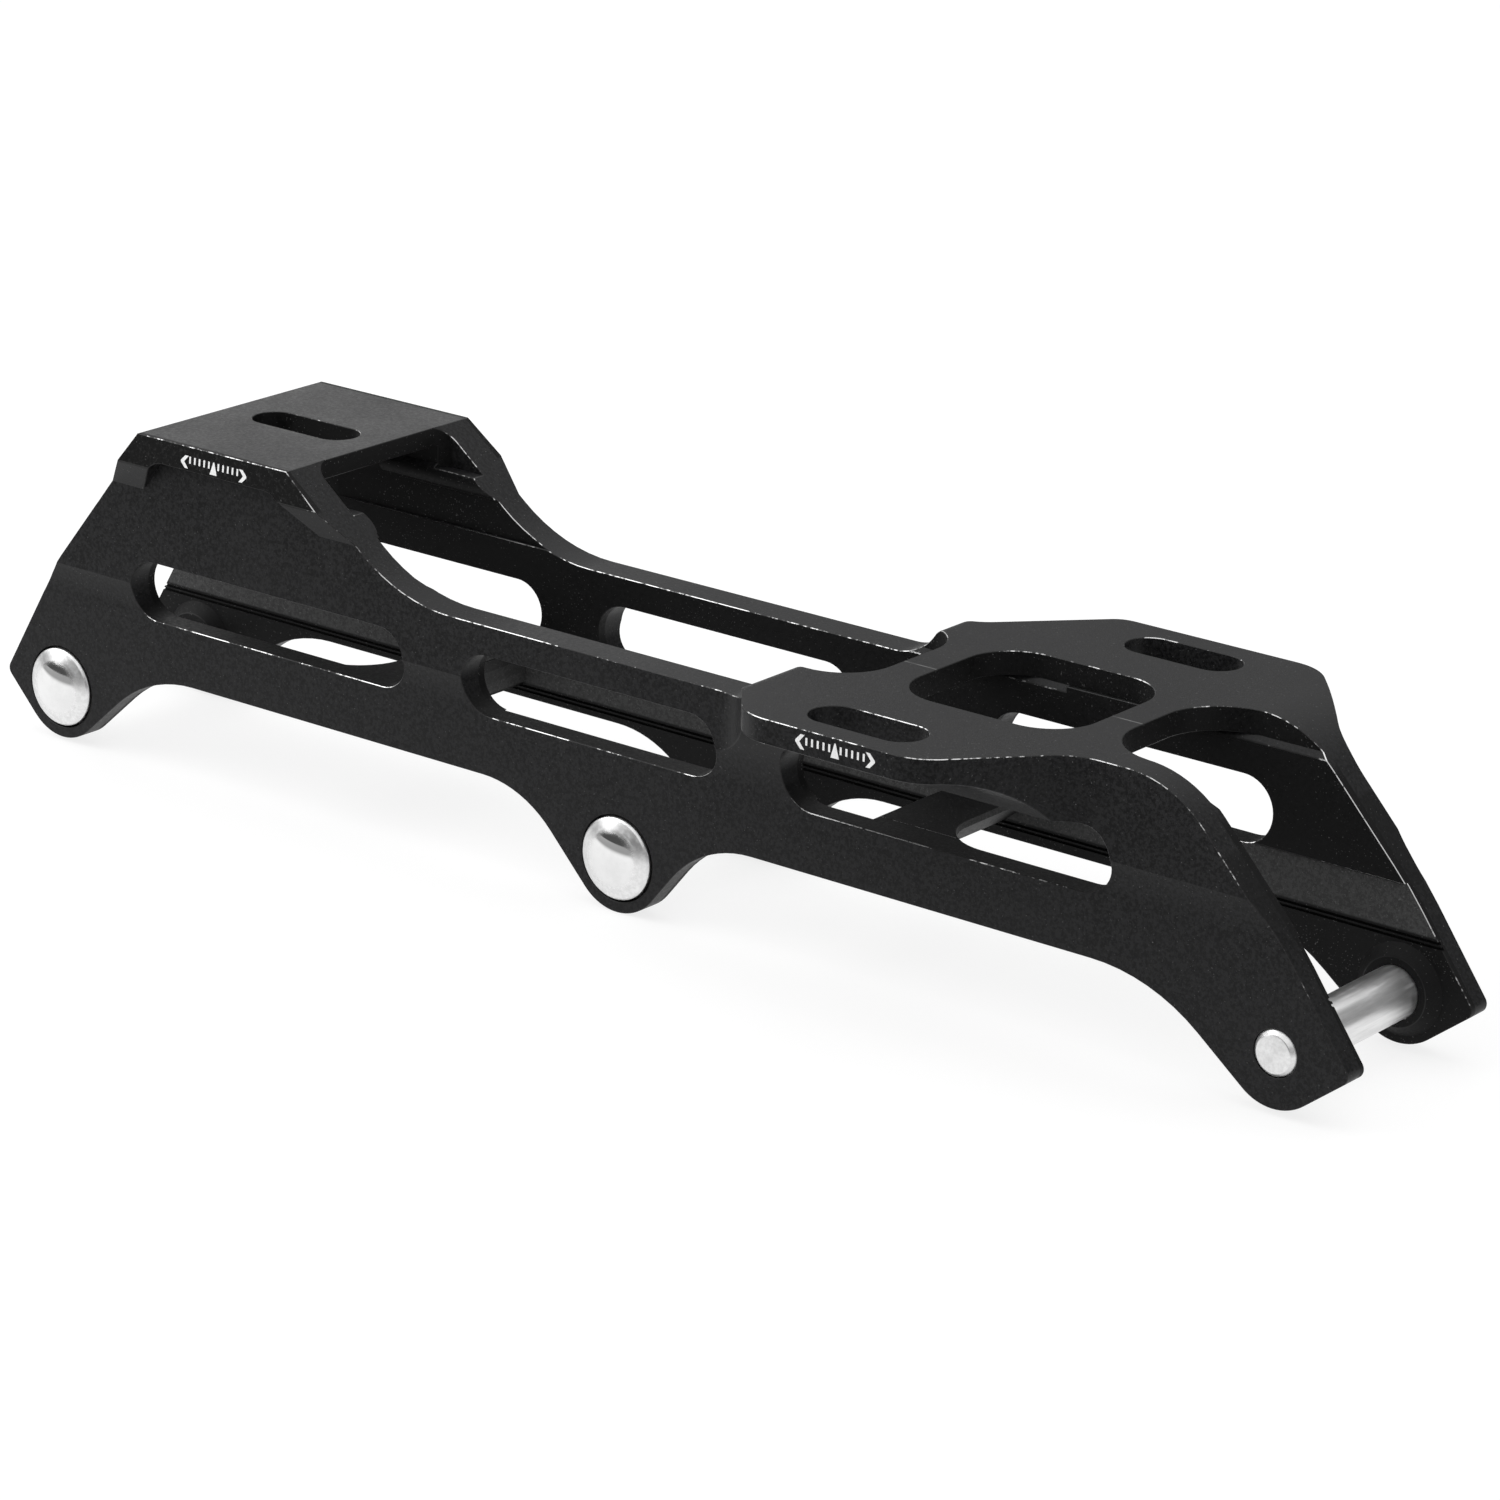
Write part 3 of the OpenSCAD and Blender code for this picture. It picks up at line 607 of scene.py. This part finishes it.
def floor_material():
    """White to the camera, with the object's shadow, and darker in front where metal mirrors it."""
    material, t = new_material("floor")
    y = t.parts(t.place())[1]
    card = t.times(t.remap(y, *FRONT_FLOOR_Y, to_low=FRONT_FLOOR_DARK, to_high=0.0), t.mirrored())
    glow = t.node("ShaderNodeEmission", Color=grey(1.0), Strength=t.math("SUBTRACT", FLOOR_GLOW, card))
    lit = t.node("ShaderNodeBsdfDiffuse", Color=grey(0.25))
    shown = t.node("ShaderNodeAddShader")
    t.put_all(shown.inputs, (glow.outputs[0], lit.outputs[0]))
    bounce = t.node("ShaderNodeBsdfDiffuse", Color=grey(0.8))
    t.node("ShaderNodeOutputMaterial", Surface=t.mix_shader(t.seen(), bounce.outputs[0], shown.outputs[0]))
    return material


def make_floor(half):
    corners = [(-half, -half, 0), (half, -half, 0), (half, half, 0), (-half, half, 0)]
    mesh = bpy.data.meshes.new("floor")
    mesh.from_pydata(corners, [], [(0, 1, 2, 3)])
    mesh.materials.append(floor_material())
    floor = bpy.data.objects.new("floor", mesh)
    floor.location.z = -FLOOR_DROP
    bpy.context.scene.collection.objects.link(floor)


def make_world():
    """White wherever the camera sees it. Metal mirrors a darker room in front of the object and behind."""
    world = bpy.data.worlds.new("studio")
    bpy.context.scene.world = world
    t = Tree(world)
    x, y, z = t.parts(t.node("ShaderNodeTexCoord").outputs["Generated"])
    turn = t.math("ARCTAN2", x, t.times(y, -1.0))
    front = t.times(t.within(turn, FRONT_TURNS, FRONT_TURNS_SOFT),
                    t.within(z, FRONT_HEIGHTS, FRONT_HEIGHTS_SOFT))
    low_behind = t.times(t.remap(y, *LOW_BEHIND_Y),
                         t.remap(z, *LOW_BEHIND_Z, to_low=LOW_BEHIND_DARK, to_high=0.0))
    right_behind = t.times(t.remap(x, *RIGHT_BEHIND_X, to_high=RIGHT_BEHIND_DARK),
                           t.remap(y, *RIGHT_BEHIND_Y))
    dark = t.plus(t.times(front, FRONT_DARK), t.largest(low_behind, right_behind))
    shade = t.times(dark, t.mirrored())
    backdrop = t.node("ShaderNodeBackground", Color=grey(1.0), Strength=t.math("SUBTRACT", 1.0, shade))
    room = t.node("ShaderNodeBackground", Color=grey(1.0), Strength=ROOM_LIGHT)
    t.node("ShaderNodeOutputWorld", Surface=t.mix_shader(t.seen(), room.outputs[0], backdrop.outputs[0]))


def softbox(name, place, target, size, radiance, in_view=False):
    """A rectangular lamp. in_view hides the lamp itself from the camera, where it stands in the picture."""
    data = bpy.data.lights.new(name, "AREA")
    data.shape = "RECTANGLE"
    data.size, data.size_y = size
    data.energy = radiance * math.pi * size[0] * size[1]
    lamp = bpy.data.objects.new(name, data)
    lamp.location = place
    lamp.visible_camera = not in_view
    lamp.rotation_euler = (Vector(target) - Vector(place)).to_track_quat("-Z", "Y").to_euler()
    bpy.context.scene.collection.objects.link(lamp)


make_floor(FLOOR_HALF)
make_world()
softbox("top", place=(0.0, 0.1, 0.9), target=(0, 0, 0), size=(1.0, 1.0), radiance=0.8)
softbox("left", place=(-0.75, -0.45, 0.55), target=(0, 0, 0.03), size=(0.8, 0.8), radiance=2.5)
softbox("back", place=(-0.47, 0.36, 0.19), target=(-0.08, 0, 0.06), size=(0.22, 0.2), radiance=1.1,
        in_view=True)
bpy.context.scene.view_settings.view_transform = "Standard"
